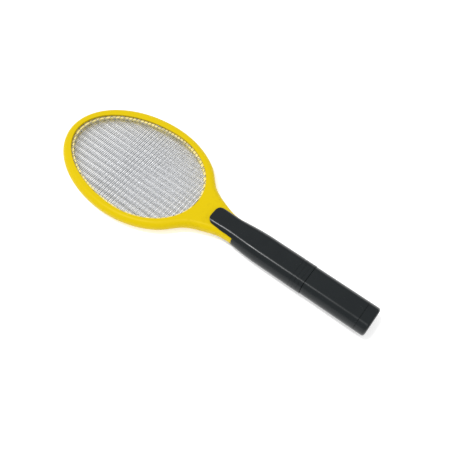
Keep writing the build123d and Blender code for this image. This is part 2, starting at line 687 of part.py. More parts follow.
def battery_nodes():
    (left, left_way), (right, right_way) = cell_places()
    springs = [battery_spring(left, TRAY_REAR_Y + 2.8, CELL_REAR_Y - 0.4),
               battery_spring(right, FRONT_WALL_Y - 0.8, CELL_FRONT_Y + 0.4)]
    return {
        "battery_sleeve": battery_sleeve(),
        "end_cap": end_cap(),
        "battery_tray": battery_tray(),
        "battery_left": battery(left, left_way),
        "battery_right": battery(right, right_way),
        "rear_link_contact": rear_link_contact(),
        "front_positive_contact": front_positive_contact(),
        "front_negative_contact": front_negative_contact(),
        "battery_springs": Compound(children=springs),
    }


def electronics_nodes():
    diodes = [axial_part(x, y, 1.3, 4.6, 8.0) for x, y in DIODES]
    resistors = [axial_part(x, y, 1.0, 4.2, 8.0) for x, y in RESISTORS]
    multipliers = [box_capacitor(x, y, (7.0, 4.0, 7.0), 5.0) for x, y in MULTIPLIER_CAPACITORS]
    mounted = {
        "transformer_bobbin": transformer_bobbin(),
        "storage_capacitor": box_capacitor(*STORAGE_CAPACITOR, (13.0, 6.5, 10.5), 10.0),
        "multiplier_capacitors": Compound(children=multipliers),
        "rectifier_diodes": Compound(children=diodes),
        "resistors": Compound(children=resistors),
        "oscillator_transistor": oscillator_transistor(),
        "indicator_led": indicator_led(),
    }
    board = circuit_board()
    for shape in mounted.values():
        board -= shape
    return mounted | {
        "circuit_board": board,
        "transformer_core": transformer_core(),
        "transformer_winding": transformer_winding(),
        "push_switch_body": push_switch_body(),
        "push_switch_plunger": push_switch_plunger(),
        "live_lead": live_lead(),
        "ground_lead_top": ground_lead(-1, 1),
        "ground_lead_bottom": ground_lead(1, -1),
        "battery_lead_positive": battery_lead(-1),
        "battery_lead_negative": battery_lead(1),
    }


def main():
    os.makedirs("parts", exist_ok=True)
    place = Pos(0, -LENGTH / 2, HANDLE_HALF_THICK)
    nodes = {**head_nodes(), **handle_nodes(), **battery_nodes(), **electronics_nodes()}
    for name, shape in nodes.items():
        export_step(place * shape, f"parts/{name}.step")


if __name__ == "__main__":
    main()
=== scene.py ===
"""Electric fly swatter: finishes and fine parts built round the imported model.

Run as a script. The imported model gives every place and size. This file adds the round-wire grids with
their solder tabs, the contact springs and the finishes, and sets the stage.
"""

import math

import bpy
from mathutils import Matrix, Quaternion, Vector


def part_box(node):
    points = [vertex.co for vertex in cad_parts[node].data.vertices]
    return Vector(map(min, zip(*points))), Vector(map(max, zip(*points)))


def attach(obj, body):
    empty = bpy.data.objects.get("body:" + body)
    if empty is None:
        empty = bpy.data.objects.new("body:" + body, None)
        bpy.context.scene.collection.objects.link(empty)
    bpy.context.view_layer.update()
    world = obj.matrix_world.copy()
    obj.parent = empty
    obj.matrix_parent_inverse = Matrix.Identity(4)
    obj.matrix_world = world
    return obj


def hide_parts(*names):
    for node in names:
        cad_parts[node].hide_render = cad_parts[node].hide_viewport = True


bl_info = {
    "name": "Electric Fly Swatter",
    "version": (1, 0, 0),
    "blender": (4, 5, 0),
    "location": "3D View > Sidebar > Swatter",
    "description": "Builds the grids, springs and finishes of an electric fly swatter",
    "category": "Object",
}

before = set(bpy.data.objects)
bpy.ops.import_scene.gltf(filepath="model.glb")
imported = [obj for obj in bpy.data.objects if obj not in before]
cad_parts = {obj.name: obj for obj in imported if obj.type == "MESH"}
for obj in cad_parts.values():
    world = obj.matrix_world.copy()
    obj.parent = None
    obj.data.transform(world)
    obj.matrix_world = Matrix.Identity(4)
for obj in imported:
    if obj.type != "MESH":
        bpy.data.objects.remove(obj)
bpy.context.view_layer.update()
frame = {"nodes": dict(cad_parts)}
NODES = frame["nodes"]

MM = 0.001
QUARTER_TURN = math.pi / 2

# ---------------------------------------------------------------- sizes read from the frame
GRID_LOW, GRID_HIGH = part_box("outer_grid_top")
SPACER_LOW, SPACER_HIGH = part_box("grid_spacer_top")
SEAM_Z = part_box("head_frame_top")[0].z       # height at which the two halves of each casing meet
WIRE_DEFAULT = (GRID_HIGH.z - GRID_LOW.z) / 2
GRID_HALF_WIDTH = (GRID_HIGH.x - GRID_LOW.x) / 2
WIDEST_SHARE = 0.429            # the window is widest this far along it, from the neck's end
SPACER_LENGTH = SPACER_HIGH.y - SPACER_LOW.y
WIDEST_Y = SPACER_LOW.y + WIDEST_SHARE * SPACER_LENGTH
FRONT_REACH = SPACER_HIGH.y - WIDEST_Y
REAR_REACH = WIDEST_Y - SPACER_LOW.y
WINDOW_EDGE_Y = SPACER_LOW.y

TAB_X = 6.5 * MM                # the two outer grids' solder tabs stand this far either side of the middle
TAB_WIDTH = 6.0 * MM
TAB_THICK = 0.8 * MM
SHORTEST_WIRE = 3.0             # a shorter one is left out, in wire diameters
LONG_SHIFT = 0.5                # pitches by which the lengthwise wires stand off the middle
WIRE_SIDES = 8
LONG_WIRE_PIECES = 28           # straight pieces that let a wire stray from its line
CROSS_WIRE_PIECES = 20


# ---------------------------------------------------------------- node trees written as arithmetic
class Value:
    """A node's output that can be used in ordinary arithmetic."""

    def __init__(self, graph, socket):
        self.graph = graph
        self.socket = socket

    def _maths(self, operation, first, second=None):
        inputs = {0: first} if second is None else {0: first, 1: second}
        return self.graph.value("ShaderNodeMath", {"operation": operation}, inputs)

    def __add__(self, other):
        return self._maths("ADD", self, other)

    def __radd__(self, other):
        return self._maths("ADD", other, self)

    def __sub__(self, other):
        return self._maths("SUBTRACT", self, other)

    def __rsub__(self, other):
        return self._maths("SUBTRACT", other, self)

    def __mul__(self, other):
        return self._maths("MULTIPLY", self, other)

    def __rmul__(self, other):
        return self._maths("MULTIPLY", other, self)

    def __truediv__(self, other):
        return self._maths("DIVIDE", self, other)

    def __pow__(self, other):
        return self._maths("POWER", self, other)

    def __lt__(self, other):
        return self._maths("LESS_THAN", self, other)

    def __gt__(self, other):
        return self._maths("GREATER_THAN", self, other)

    def root(self):
        return self._maths("SQRT", self)

    def size(self):
        """The value without its sign."""
        return self._maths("ABSOLUTE", self)

    def part(self):
        """What is left over after the whole number."""
        return self._maths("FRACT", self)

    def at_least(self, other):
        return self._maths("MAXIMUM", self, other)

    def at_most(self, other):
        return self._maths("MINIMUM", self, other)

    def ramp(self, low, high):
        """0 below low, 1 above high, straight between."""
        inputs = {"Value": self, "From Min": low, "From Max": high}
        return self.graph.value("ShaderNodeMapRange", {"clamp": True}, inputs)


class Graph:
    """Adds nodes to a tree, for shaders and Geometry Nodes alike."""

    def __init__(self, tree):
        self.tree = tree

    def feed(self, socket, value):
        if isinstance(value, Value):
            self.tree.links.new(value.socket, socket)
        else:
            socket.default_value = value

    def node(self, kind, settings=None, inputs=None):
        made = self.tree.nodes.new(kind)
        for key, value in (settings or {}).items():
            if key == "stops":
                self.set_stops(made.color_ramp, value)
            else:
                setattr(made, key, value)
        for key, value in (inputs or {}).items():
            self.feed(made.inputs[key], value)
        return made

    def value(self, kind, settings=None, inputs=None, output=0):
        return Value(self, self.node(kind, settings, inputs).outputs[output])

    @staticmethod
    def set_stops(ramp, stops):
        while len(ramp.elements) > 1:
            ramp.elements.remove(ramp.elements[-1])
        ramp.elements[0].position, ramp.elements[0].color = stops[0]
        for position, colour in stops[1:]:
            ramp.elements.new(position).color = colour


def rgba(colour):
    """A colour with its opacity."""
    return (colour[0], colour[1], colour[2], 1.0)


def shade(colour, factor):
    """The same colour lighter or darker."""
    return tuple(min(1.0, part * factor) for part in colour[:3])


class Finish(Graph):
    """A material's tree, with the patterns that its surfaces share."""

    def __init__(self, name):
        self.material = bpy.data.materials.new(name)
        self.material.use_nodes = True
        super().__init__(self.material.node_tree)
        self.shader = self.tree.nodes["Principled BSDF"]
        self.coords = self.value("ShaderNodeTexCoord", output="Object")

    def along(self):
        """The place on the piece as three numbers, in millimetres."""
        split = self.node("ShaderNodeSeparateXYZ", inputs={0: self.coords})
        return [Value(self, split.outputs[axis]) * 1000.0 for axis in range(3)]

    def stretched(self, x, y, z):
        """Coordinates with a different scale along each axis."""
        return self.value("ShaderNodeMapping", inputs={"Vector": self.coords, "Scale": (x, y, z)})

    def noise(self, grain_mm, detail=3.0, roughness=0.5, vector=None):
        """Smooth noise from 0 to 1 whose features are about grain_mm across."""
        inputs = {"Vector": vector or self.coords, "Scale": 1.0 if vector else 1000.0 / grain_mm,
                  "Detail": detail, "Roughness": roughness}
        return self.value("ShaderNodeTexNoise", {"noise_dimensions": "3D"}, inputs)

    def cells(self, grain_mm):
        """Distance to the nearest of many scattered points grain_mm apart."""
        inputs = {"Vector": self.coords, "Scale": 1000.0 / grain_mm}
        return self.value("ShaderNodeTexVoronoi", {"feature": "F1"}, inputs)

    def seam(self, z, height):
        """1 on the thin line where two mouldings meet at the given height in metres."""
        return (z - height * 1000).size().ramp(0.16, 0.07)

    def blend(self, first, second, factor, way="MIX"):
        """Mix of two colours."""
        first = first if isinstance(first, Value) else rgba(first)
        second = second if isinstance(second, Value) else rgba(second)
        made = self.node("ShaderNodeMix", {"data_type": "RGBA", "blend_type": way, "clamp_factor": True},
                         {"Factor": factor, 6: first, 7: second})
        return Value(self, made.outputs[2])

    def raise_by(self, height, distance, strength=1.0, after=None):
        """Bump from a height of 0 to 1 that stands distance metres proud."""
        inputs = {"Height": height, "Distance": distance, "Strength": strength}
        if after:
            inputs["Normal"] = after
        return self.value("ShaderNodeBump", inputs=inputs)

    def finish(self, colour, roughness, normal=None, metal=0.0, **steady):
        self.feed(self.shader.inputs["Base Color"], colour if isinstance(colour, Value) else rgba(colour))
        self.feed(self.shader.inputs["Roughness"], roughness)
        self.feed(self.shader.inputs["Metallic"], metal)
        if normal:
            self.feed(self.shader.inputs["Normal"], normal)
        for name, value in steady.items():
            self.shader.inputs[name.replace("_", " ").title().replace("Ior", "IOR")].default_value = value
        return self.material


# ---------------------------------------------------------------- finishes
def moulded_plastic(name, colour, gloss, grain=0.5, depth=0.02, mottle=0.05, handling=0.5, dust=0.0,
                    seam_z=None, shine=0.5):
    """Injection moulded plastic: fine grain, a little mottle, hairline scratches and rubbed patches."""
    f = Finish(name)
    cloud = f.noise(45.0, 2.0)
    speck = f.noise(2.2, 4.0, 0.7)
    base = f.blend(shade(colour, 1.0 - mottle), shade(colour, 1.0 + mottle), cloud)
    base = f.blend(base, shade(colour, 1.0 - 2 * mottle), speck.ramp(0.62, 0.80) * 0.6)
    hair = f.noise(1.0, 2.0, 0.5, f.stretched(2600.0, 90.0, 2600.0)).ramp(0.66, 0.72)
    cross = f.noise(1.0, 2.0, 0.5, f.stretched(110.0, 2300.0, 110.0)).ramp(0.70, 0.75)
    worn = f.noise(16.0, 3.0, 0.6).ramp(0.45, 0.70)
    scratch = (hair + cross).at_most(1.0) * worn
    base = f.blend(base, shade(colour, 1.0 + 0.35 * handling), scratch * (0.30 * handling))
    if dust:
        motes = f.cells(3.1).ramp(0.10, 0.03) * f.noise(9.0).ramp(0.45, 0.6)
        base = f.blend(base, (0.42, 0.41, 0.38), motes * dust)
    roughness = gloss + (cloud - 0.5) * 0.10 + scratch * (0.18 * handling) - worn * (0.05 * handling)
    skin = f.noise(grain, 2.0, 0.6)
    ripple = f.raise_by(f.noise(14.0, 1.0), 0.00006, 0.5)
    relief = skin - scratch * 0.35
    if seam_z is not None:
        seam = f.seam(f.along()[2], seam_z)
        base = f.blend(base, shade(colour, 0.3), seam * 0.8)
        relief = relief - seam * 2.0
    normal = f.raise_by(relief, depth * MM, 1.0, ripple)
    return f.finish(base, roughness, normal, specular_ior_level=shine)


def frame_plastic(name, colour, seam_z):
    """The head frame's satin plastic: flow lines, rubs along the outer edge and the seam's dark line."""
    f = Finish(name)
    x, y, z = f.along()
    cloud = f.noise(60.0, 2.0)
    fine = f.noise(3.0, 3.0, 0.6)
    base = f.blend(shade(colour, 0.965), shade(colour, 1.03), cloud)
    base = f.blend(base, shade(colour, 0.90), fine.ramp(0.60, 0.85) * 0.35)
    reach = f.blend((FRONT_REACH * 1000,) * 3, (REAR_REACH * 1000,) * 3, y < WIDEST_Y * 1000)
    across = x / (GRID_HALF_WIDTH * 1000)
    way_along = (y - WIDEST_Y * 1000) / reach
    ring = (across * across + way_along * way_along).root()
    edge = ring.ramp(1.085, 1.12) * f.noise(7.0, 4.0, 0.7).ramp(0.50, 0.68)
    flow = f.noise(1.0, 2.0, 0.5, f.stretched(30.0, 220.0, 30.0))
    scratch = f.noise(1.0, 2.0, 0.5, f.stretched(1900.0, 100.0, 1900.0)).ramp(0.69, 0.73)
    scratch = scratch * f.noise(22.0, 2.0).ramp(0.48, 0.66)
    base = f.blend(base, shade(colour, 0.80), scratch * 0.22)
    base = f.blend(base, shade(colour, 0.72), edge * 0.30)
    seam = f.seam(z, seam_z)
    base = f.blend(base, shade(colour, 0.30), seam * 0.8)
    roughness = 0.36 + (cloud - 0.5) * 0.08 + edge * 0.20 + scratch * 0.2 + flow * 0.05
    swell = f.raise_by(flow, 0.00008, 0.4)
    normal = f.raise_by(f.noise(0.45, 2.0, 0.6) - scratch * 0.4 - seam, 0.000012, 1.0, swell)
    return f.finish(base, roughness, normal, specular_ior_level=0.2, specular_tint=(1.0, 0.84, 0.25, 1.0))


def drawn_wire(name, colour, gloss=0.28, dull=0.35):
    """Bright drawn wire: fine draw marks, a dull handling film and small dark spots."""
    f = Finish(name)
    film = f.noise(26.0, 3.0, 0.6)
    marks = f.noise(0.35, 2.0)
    base = f.blend(colour, shade(colour, 0.72), film.ramp(0.45, 0.75) * dull)
    base = f.blend(base, shade(colour, 0.45), f.noise(1.6, 3.0, 0.7).ramp(0.63, 0.76) * 0.55)
    roughness = gloss + film * 0.14 + marks * 0.06
    return f.finish(base, roughness, f.raise_by(marks, 0.000015), metal=1.0)


def plated_steel(name, colour, gloss=0.30, brushed=(900.0, 900.0, 60.0)):
    """Plated steel: brushed lines, faint yellowing and small pits."""
    f = Finish(name)
    lines = f.noise(1.0, 2.0, 0.5, f.stretched(*brushed))
    tarnish = f.noise(6.0, 3.0, 0.6)
    base = f.blend(colour, (0.50, 0.42, 0.28), tarnish.ramp(0.52, 0.80) * 0.35)
    base = f.blend(base, shade(colour, 0.5), f.noise(0.8, 3.0, 0.7).ramp(0.66, 0.76) * 0.6)
    roughness = gloss + lines * 0.18 + tarnish * 0.08
    return f.finish(base, roughness, f.raise_by(lines, 0.00002, 0.7), metal=1.0)


def board_laminate(name, mask, copper, middle):
    """Circuit board: green lacquer over pale tracks, with tinned pads on a fine pitch."""
    f = Finish(name)
    x, y, _ = f.along()
    pitch = 2.54                # millimetres between holes
    row = ((x - middle.x * 1000) / pitch + 0.5).part() - 0.5
    column = ((y - middle.y * 1000) / pitch + 0.5).part() - 0.5
    spot = (row * row + column * column).root() * pitch
    chosen = f.noise(4.2, 0.0).ramp(0.50, 0.54)
    pad = spot.ramp(0.75, 0.62) * chosen
    hole_shade = spot.ramp(0.36, 0.28) * chosen
    lanes = row.size().ramp(0.20, 0.13) * f.noise(9.0, 0.0).ramp(0.47, 0.50)
    ties = column.size().ramp(0.18, 0.12) * f.noise(11.0, 1.0).ramp(0.53, 0.55)
    track = lanes.at_least(ties)
    base = f.blend(mask, shade(mask, 1.9), track * 0.75)
    base = f.blend(base, copper, pad)
    # Painted shade: each drilled hole is painted near-black in place of the dark inside of the hole.
    base = f.blend(base, (0.01, 0.01, 0.01), hole_shade)
    grain = f.noise(0.5, 3.0)
    roughness = 0.32 + grain * 0.10 + pad * 0.08
    return f.finish(base, roughness, f.raise_by(track * 0.6 + pad - hole_shade + grain * 0.1, 0.00004))


def wrapped_can(name, front_y, rear_y, flip):
    """Dry cell: a dark wrap with a plain bronze band at one end, and bare metal ends."""
    f = Finish(name)
    _, y, _ = f.along()
    length = (front_y - rear_y) * 1000
    share = (y - rear_y * 1000) / length
    share = 1.0 - share if flip else share
    band = share.ramp(0.725, 0.73)
    bare = (share.ramp(0.012, 0.008) + share.ramp(0.968, 0.972)).at_most(1.0)
    line = share.ramp(0.712, 0.714) * (1.0 - share.ramp(0.722, 0.724))
    print_grain = f.noise(0.4, 2.0)
    wrap = f.blend((0.012, 0.014, 0.018), (0.50, 0.24, 0.075), band)
    wrap = f.blend(wrap, (0.70, 0.68, 0.62), line)
    wrap = f.blend(wrap, (0.2, 0.18, 0.16), f.noise(2.0, 4.0, 0.7).ramp(0.64, 0.74) * 0.25)
    base = f.blend(wrap, (0.60, 0.60, 0.59), bare)
    roughness = 0.26 + print_grain * 0.08 + bare * 0.10
    metal = (bare + band * 0.7).at_most(1.0)
    return f.finish(base, roughness, f.raise_by(print_grain, 0.00001), metal=metal, coat_weight=0.2)


def dipped_body(name, colour, leg_top):
    """Dipped or moulded component body above tinned legs."""
    f = Finish(name)
    _, _, z = f.along()
    leg = z.ramp(leg_top * 1000 + 0.02, leg_top * 1000 - 0.02)
    cloud = f.noise(2.5, 3.0, 0.6)
    body = f.blend(shade(colour, 0.85), shade(colour, 1.12), cloud)
    base = f.blend(body, (0.62, 0.61, 0.58), leg)
    roughness = 0.30 + cloud * 0.12
    return f.finish(base, roughness, f.raise_by(cloud, 0.00004), metal=leg)


def banded_resistor(name, middle_x):
    """Lacquered resistor with plain colour rings and tinned legs."""
    f = Finish(name)
    x, _, _ = f.along()
    off = x - middle_x * 1000
    lacquer = (0.55, 0.40, 0.22, 1.0)
    brown, black = (0.30, 0.08, 0.02, 1.0), (0.02, 0.02, 0.02, 1.0)
    orange, gold = (0.60, 0.25, 0.02, 1.0), (0.60, 0.42, 0.10, 1.0)
    stops = [(0.0, lacquer), (0.20, brown), (0.30, lacquer), (0.38, black), (0.48, lacquer), (0.56, orange),
             (0.66, lacquer), (0.82, gold), (0.90, lacquer)]
    ramp = f.node("ShaderNodeValToRGB", {"stops": stops}, {0: off.ramp(-2.1, 2.1)})
    ramp.color_ramp.interpolation = "CONSTANT"
    leg = off.size().ramp(2.08, 2.12)
    base = f.blend(Value(f, ramp.outputs[0]), (0.62, 0.61, 0.58), leg)
    cloud = f.noise(0.7, 3.0)
    return f.finish(base, 0.28 + cloud * 0.12, f.raise_by(cloud, 0.00002), metal=leg)


def soft_insulation(name, colour):
    """Soft cable insulation: faint extrusion lines and grime."""
    f = Finish(name)
    lines = f.noise(1.0, 2.0, 0.5, f.stretched(3000.0, 120.0, 3000.0))
    grime = f.noise(4.0, 3.0)
    base = f.blend(colour, shade(colour, 0.7), grime.ramp(0.4, 0.8))
    return f.finish(base, 0.42 + lines * 0.15, f.raise_by(lines, 0.00002))


def wound_tape(name, colour):
    """Polyester tape wound over wire: overlapping turns with a soft sheen."""
    f = Finish(name)
    _, _, z = f.along()
    turn = (z * 0.42 + f.noise(6.0) * 0.4).part()
    base = f.blend(colour, shade(colour, 0.62), turn.ramp(0.82, 1.0))
    base = f.blend(base, (0.42, 0.16, 0.05), f.noise(3.0).ramp(0.62, 0.75) * 0.4)
    return f.finish(base, 0.22 + turn * 0.15, f.raise_by(turn, 0.00006), coat_weight=0.3)


def sintered_ferrite(name, colour):
    """Pressed ferrite: dark, matt and grainy."""
    f = Finish(name)
    grain = f.noise(0.5, 4.0, 0.7)
    base = f.blend(shade(colour, 0.8), shade(colour, 1.5), grain)
    return f.finish(base, 0.55 + grain * 0.2, f.raise_by(grain, 0.00004))


def tinted_lens(name, colour):
    """Tinted epoxy of the indicator light, a little cloudy."""
    f = Finish(name)
    cloud = f.noise(1.5, 2.0)
    base = f.blend(colour, shade(colour, 0.6), cloud.ramp(0.4, 0.7))
    return f.finish(base, 0.10 + cloud * 0.05, f.raise_by(cloud, 0.00001), transmission_weight=0.25,
                    coat_weight=0.5, coat_roughness=0.05)


def floor_paint(name, colour, glow):
    """White sheet of a light table: matt, with a soft glow of its own."""
    f = Finish(name)
    cloud = f.noise(180.0, 2.0)
    base = f.blend(shade(colour, 0.99), shade(colour, 1.005), cloud)
    normal = f.raise_by(f.noise(3.0), 0.00001)
    return f.finish(base, 0.85 + cloud * 0.05, normal, emission_color=(1.0, 1.0, 1.0, 1.0),
                    emission_strength=glow, specular_ior_level=0.1)


# ---------------------------------------------------------------- settings that a user would change
class SwatterGridSettings(bpy.types.PropertyGroup):
    """Sizes of the wire grids"""

    wire: bpy.props.FloatProperty(name="Wire", description="Diameter of the grid wire", subtype="DISTANCE",
                                  unit="LENGTH", default=WIRE_DEFAULT)
    long_pitch: bpy.props.FloatProperty(name="Lengthwise pitch", description="Gap between lengthwise wires",
                                        subtype="DISTANCE", unit="LENGTH", default=7.9 * MM)
    cross_pitch: bpy.props.FloatProperty(name="Crosswise pitch", description="Gap between crosswise wires",
                                         subtype="DISTANCE", unit="LENGTH", default=4.94 * MM)
    wander: bpy.props.FloatProperty(name="Wander", description="How far a wire strays from its line",
                                    subtype="DISTANCE", unit="LENGTH", default=0.16 * MM)
    seed: bpy.props.IntProperty(name="Seed", description="Fixes how the wires stray", default=7)


class SwatterSpringSettings(bpy.types.PropertyGroup):
    """Sizes of the contact springs"""

    turns: bpy.props.FloatProperty(name="Turns", description="Turns in each spring", default=4.0)
    wire: bpy.props.FloatProperty(name="Wire", description="Diameter of the spring wire", subtype="DISTANCE",
                                  unit="LENGTH", default=0.6 * MM)
    wide: bpy.props.FloatProperty(name="Wide end", description="Diameter at the contact", subtype="DISTANCE",
                                  unit="LENGTH", default=7.6 * MM)
    narrow: bpy.props.FloatProperty(name="Narrow end", description="Diameter at the cell", subtype="DISTANCE",
                                    unit="LENGTH", default=6.2 * MM)


class SwatterColourSettings(bpy.types.PropertyGroup):
    """Colours of the visible pieces"""

    frame: bpy.props.FloatVectorProperty(name="Frame", description="Head frame's plastic", subtype="COLOR",
                                         size=3, default=(0.665, 0.488, 0.002))
    spacer: bpy.props.FloatVectorProperty(name="Spacer", description="Insulating rings", subtype="COLOR",
                                          size=3, default=(0.92, 0.78, 0.30))
    grip: bpy.props.FloatVectorProperty(name="Grip", description="Handle's plastic", subtype="COLOR",
                                        size=3, default=(0.005, 0.0078, 0.0092))
    wire: bpy.props.FloatVectorProperty(name="Wire", description="Grid wire", subtype="COLOR",
                                        size=3, default=(0.42, 0.435, 0.46))
    button: bpy.props.FloatVectorProperty(name="Button", description="Push button", subtype="COLOR",
                                          size=3, default=(0.50, 0.025, 0.015))


class SwatterStageSettings(bpy.types.PropertyGroup):
    """Camera, floor and lights"""

    azimuth: bpy.props.FloatProperty(name="Azimuth", description="Camera's turn round the swatter",
                                     subtype="ANGLE", default=math.radians(-49.95))
    elevation: bpy.props.FloatProperty(name="Elevation", description="Camera's height above the horizon",
                                       subtype="ANGLE", default=math.radians(61.33))
    roll: bpy.props.FloatProperty(name="Roll", description="Camera's turn about its own view",
                                  subtype="ANGLE", default=math.radians(-2.61))
    distance: bpy.props.FloatProperty(name="Distance", description="Camera to the point it looks at",
                                      subtype="DISTANCE", unit="LENGTH", default=0.6481)
    lens: bpy.props.FloatProperty(name="Lens", description="Focal length in millimetres", default=45.06)
    floor: bpy.props.FloatVectorProperty(name="Floor", description="Floor's colour", subtype="COLOR",
                                         size=3, default=(0.88, 0.88, 0.88))
    glow: bpy.props.FloatProperty(name="Glow", description="Light that the floor gives off itself",
                                  default=0.36)
    key: bpy.props.FloatProperty(name="Key", description="Strength of the main light", default=0.45)
    rim: bpy.props.FloatProperty(name="Rim", description="Strength of the light that edges the grip",
                                 default=1.5)
    sky: bpy.props.FloatProperty(name="Sky", description="Strength of the light from all round", default=0.68)


SETTINGS = {"swatter_grid": SwatterGridSettings, "swatter_springs": SwatterSpringSettings,
            "swatter_colours": SwatterColourSettings, "swatter_stage": SwatterStageSettings}


# ---------------------------------------------------------------- shared making
def paint(names, material):
    """Gives CAD nodes their finish."""
    for name in names:
        mesh = NODES[name].data
        mesh.materials.clear()
        mesh.materials.append(material)


def new_tree(name, inputs):
    """Empty Geometry Nodes tree with named inputs and one geometry output."""
    tree = bpy.data.node_groups.new(name, "GeometryNodeTree")
    for label, kind in inputs.items():
        tree.interface.new_socket(label, in_out="INPUT", socket_type=kind)
    tree.interface.new_socket("Geometry", in_out="OUTPUT", socket_type="NodeSocketGeometry")
    graph = Graph(tree)
    entry = graph.node("NodeGroupInput")
    given = {label: Value(graph, entry.outputs[label]) for label in inputs}
    return graph, given


def close_tree(graph, geometry, material):
    """Ends a tree in Realize Instances and Set Material."""
    real = graph.value("GeometryNodeRealizeInstances", inputs={0: geometry})
    dressed = graph.value("GeometryNodeSetMaterial", inputs={"Geometry": real, "Material": material})
    exit_node = graph.node("NodeGroupOutput")
    graph.tree.links.new(dressed.socket, exit_node.inputs[0])
    return graph.tree


def grow(name, tree, values):
    """Runs a tree on an empty mesh and returns its result as a plain mesh object at the origin."""
    seedling = bpy.data.objects.new(name + "_seedling", bpy.data.meshes.new(name))
    bpy.context.scene.collection.objects.link(seedling)
    modifier = seedling.modifiers.new("grow", "NODES")
    modifier.node_group = tree
    for item in tree.interface.items_tree:
        if item.in_out == "INPUT" and item.name in values:
            modifier[item.identifier] = values[item.name]
    evaluated = seedling.evaluated_get(bpy.context.evaluated_depsgraph_get())
    mesh = bpy.data.meshes.new_from_object(evaluated)
    mesh.name = name
    bpy.data.objects.remove(seedling)
    piece = bpy.data.objects.new(name, mesh)
    bpy.context.scene.collection.objects.link(piece)
    if not mesh.polygons:
        raise RuntimeError(f"{name} came out empty")
    return piece


# ---------------------------------------------------------------- grids
def wire_set_tree(name, lengthwise, material):
    """Parallel round wires that fill the egg-shaped window, each cut off at the window's rim."""
    sizes = ["Pitch", "Shift", "Wire", "Height", "Half Width", "Widest", "Front", "Rear", "Wander"]
    inputs = {label: "NodeSocketFloat" for label in sizes}
    inputs.update({"Count": "NodeSocketInt", "Pieces": "NodeSocketInt", "Seed": "NodeSocketInt"})
    g, given = new_tree(name, inputs)
    line = g.value("GeometryNodeMeshLine", inputs={"Count": given["Count"]})
    index = g.value("GeometryNodeInputIndex")
    step = (index - (given["Count"] - 1) / 2 + given["Shift"]) * given["Pitch"]
    if lengthwise:
        share = ((1.0 - (step / given["Half Width"]) ** 2).at_least(0.0)).root()
        ahead = share * given["Front"]
        behind = share * given["Rear"]
        length = ahead + behind
        middle = given["Widest"] + (ahead - behind) / 2
        place = g.value("ShaderNodeCombineXYZ", inputs={"X": step, "Y": middle, "Z": given["Height"]})
        turn = (QUARTER_TURN, 0.0, 0.0)
    else:
        forward = step > 0.0
        reach = given["Front"] * forward + given["Rear"] * (1.0 - forward)
        share = ((1.0 - (step / reach) ** 2).at_least(0.0)).root()
        length = share * given["Half Width"] * 2
        place = g.value("ShaderNodeCombineXYZ", inputs={"Y": given["Widest"] + step, "Z": given["Height"]})
        turn = (0.0, QUARTER_TURN, 0.0)
    kept = length > given["Wire"] * SHORTEST_WIRE
    points = g.value("GeometryNodeSetPosition", inputs={"Geometry": line, "Position": place})
    rod = g.value("GeometryNodeMeshCylinder", {"fill_type": "TRIANGLE_FAN"}, {
        "Vertices": WIRE_SIDES, "Side Segments": given["Pieces"], "Radius": given["Wire"] / 2, "Depth": 1.0})
    stretch = g.value("ShaderNodeCombineXYZ", inputs={"X": 1.0, "Y": 1.0, "Z": length})
    stood = g.value("GeometryNodeInstanceOnPoints", inputs={
        "Points": points, "Selection": kept, "Instance": rod, "Rotation": turn, "Scale": stretch})
    real = g.value("GeometryNodeRealizeInstances", inputs={0: stood})
    spot = g.value("GeometryNodeInputPosition")
    drift = g.node("ShaderNodeTexNoise", {"noise_dimensions": "4D"},
                   {"Vector": spot, "W": given["Seed"] * 3.7, "Scale": 42.0, "Detail": 1.0})
    centred = g.value("ShaderNodeVectorMath", {"operation": "SUBTRACT"},
                      {0: Value(g, drift.outputs["Color"]), 1: (0.5, 0.5, 0.5)})
    offset = g.value("ShaderNodeVectorMath", {"operation": "SCALE"},
                     {0: centred, "Scale": given["Wander"] * 4})
    moved = g.value("GeometryNodeSetPosition", inputs={"Geometry": real, "Offset": offset})
    smooth = g.value("GeometryNodeSetShadeSmooth", inputs={0: moved})
    return close_tree(g, smooth, material)


def strip_tree(name, material):
    """Flat strip of sheet metal with its middle at a given place."""
    g, given = new_tree(name, {"Size": "NodeSocketVector", "Place": "NodeSocketVector"})
    block = g.value("GeometryNodeMeshCube", inputs={"Size": given["Size"]})
    placed = g.value("GeometryNodeTransform", inputs={"Geometry": block, "Translation": given["Place"]})
    return close_tree(g, placed, material)


def join(name, pieces):
    """One mesh from several, without moving them."""
    with bpy.context.temp_override(active_object=pieces[0], object=pieces[0], selected_objects=pieces,
                                   selected_editable_objects=pieces):
        bpy.ops.object.join()
    pieces[0].name = name
    pieces[0].data.name = name
    return pieces[0]


def weave(name, node, stagger, tab_x, settings, material):
    """One welded grid: lengthwise wires over crosswise ones, and the tab that its lead is soldered to."""
    low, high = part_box(node)
    middle = (low.z + high.z) / 2
    half_width = (high.x - low.x) / 2
    shared = {"Wire": settings.wire, "Half Width": half_width, "Widest": WIDEST_Y, "Front": FRONT_REACH,
              "Rear": REAR_REACH, "Wander": settings.wander, "Seed": settings.seed + round(middle / MM)}
    parts = []
    sets = ((True, settings.long_pitch, LONG_SHIFT), (False, settings.cross_pitch, stagger))
    for lengthwise, pitch, shift in sets:
        reach = half_width if lengthwise else FRONT_REACH
        tree = wire_set_tree(f"{name}_wires", lengthwise, material)
        height = middle + (1 if lengthwise else -1) * settings.wire / 2
        values = dict(shared, Pitch=pitch, Shift=shift, Height=height, Count=2 * int(reach / pitch) + 3,
                      Pieces=LONG_WIRE_PIECES if lengthwise else CROSS_WIRE_PIECES)
        parts.append(grow(f"{name}_{'long' if lengthwise else 'cross'}", tree, values))
    tab_length = WINDOW_EDGE_Y - low.y + settings.wire * 3
    strip = {"Size": (TAB_WIDTH, tab_length, TAB_THICK), "Place": (tab_x, low.y + tab_length / 2, middle)}
    parts.append(grow(f"{name}_tab", strip_tree(f"{name}_strip", material), strip))
    piece = join(name, parts)
    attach(piece, "root")
    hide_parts(node)


